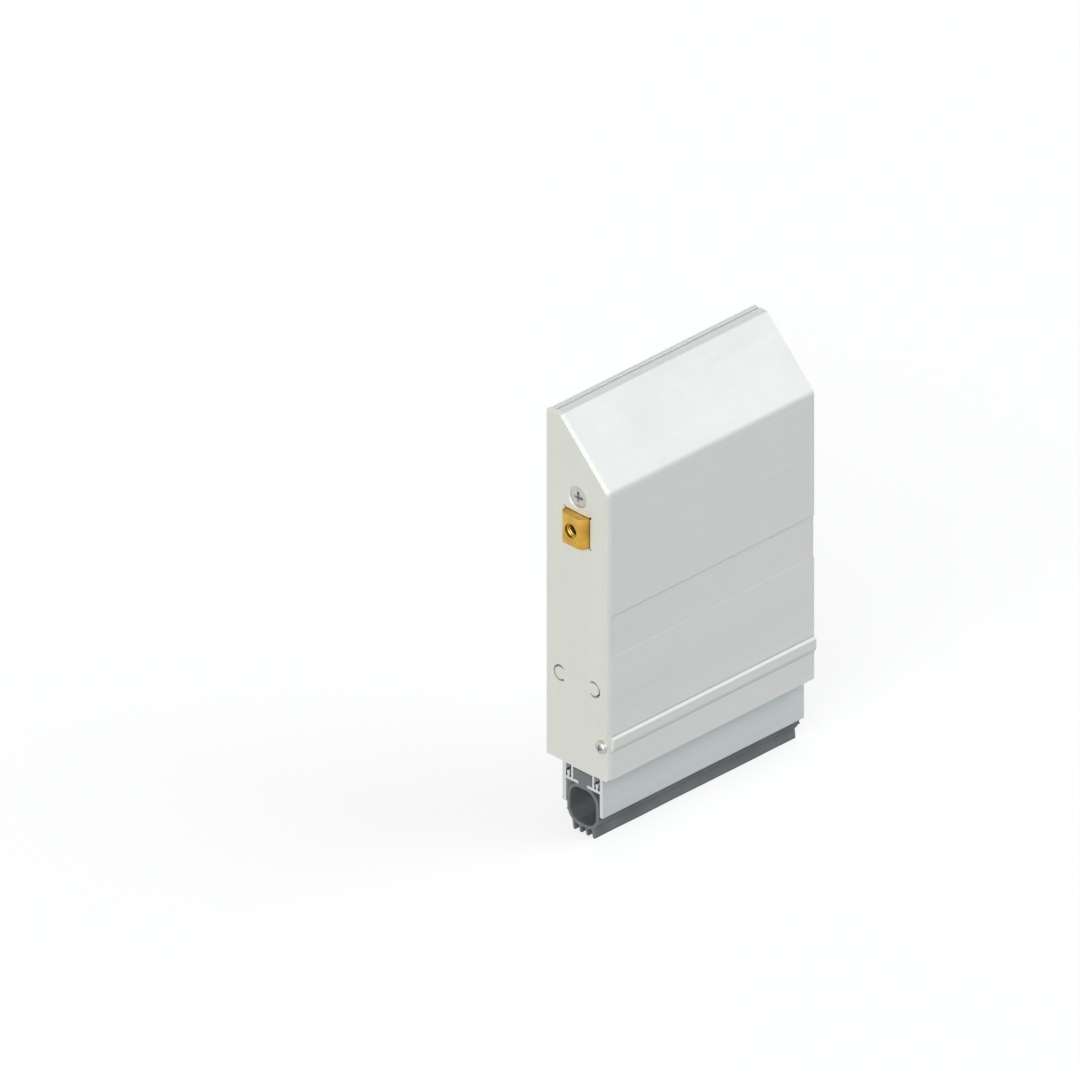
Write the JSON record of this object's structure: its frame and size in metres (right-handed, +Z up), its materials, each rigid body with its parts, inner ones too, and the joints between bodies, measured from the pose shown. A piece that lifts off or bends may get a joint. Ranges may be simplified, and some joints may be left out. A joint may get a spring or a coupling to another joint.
{
  "type": "automatic door bottom seal",
  "caption": "Surface-fixed automatic door bottom seal: a sloped housing, end plate, brass plunger and drop bar with a bulb gasket.",
  "frame": {"origin": "middle of the back face that lies on the door", "axes": "+Y into the door, -Y out of its face, +Z up, X along the seal with the plunger end at -X"},
  "size_m": [0.1023, 0.03, 0.161],
  "materials": {
    "housing_aluminium": "satin anodised",
    "mill_aluminium": "mill",
    "bar_aluminium": "satin anodised",
    "end_plate": "satin",
    "plated_steel": "zinc plated",
    "dark_steel": "black oxide",
    "spring_steel": "drawn wire",
    "brass": "machined",
    "glide_strip": "matt",
    "gasket_rubber": "matt"
  },
  "bodies": {
    "housing": {"back_extrusion": "housing_aluminium", "front_cover": "housing_aluminium", "mechanism_channel": "mill_aluminium", "end_plate": "end_plate", "end_plate_screw": "plated_steel", "cover_screw": "plated_steel", "spring_stop": "mill_aluminium", "stop_grub_screw": "dark_steel"},
    "plunger": {"plunger_block": "brass", "slide_bar": "plated_steel", "return_spring": "spring_steel"},
    "adjuster": {"adjusting_screw": "dark_steel"},
    "seal_bar": {"drop_bar": "bar_aluminium", "rear_glide_strip": "glide_strip", "front_glide_strip": "glide_strip", "bulb_gasket": "gasket_rubber", "near_hanger": "plated_steel", "far_hanger": "plated_steel", "near_hanger_pin": "dark_steel", "far_hanger_pin": "dark_steel"}
  },
  "joints": [
    {"name": "bar_lift", "type": "slide", "parent": "housing", "child": "seal_bar", "axis": [0, 0, 1], "range_m": [0, 0.012]},
    {"name": "plunger_slide", "type": "slide", "parent": "housing", "child": "plunger", "axis": [-1, 0, 0], "range_m": [0, 0.012], "deforming": ["return_spring"]},
    {"name": "adjuster_turn", "type": "hinge", "parent": "plunger", "child": "adjuster", "pos_m": [-0.0508, -0.0148, 0.0267], "axis": [1, 0, 0], "continuous": true}
  ],
  "couplings": [
    {"joint": "plunger_slide", "follows": "bar_lift", "ratio": 1}
  ]
}
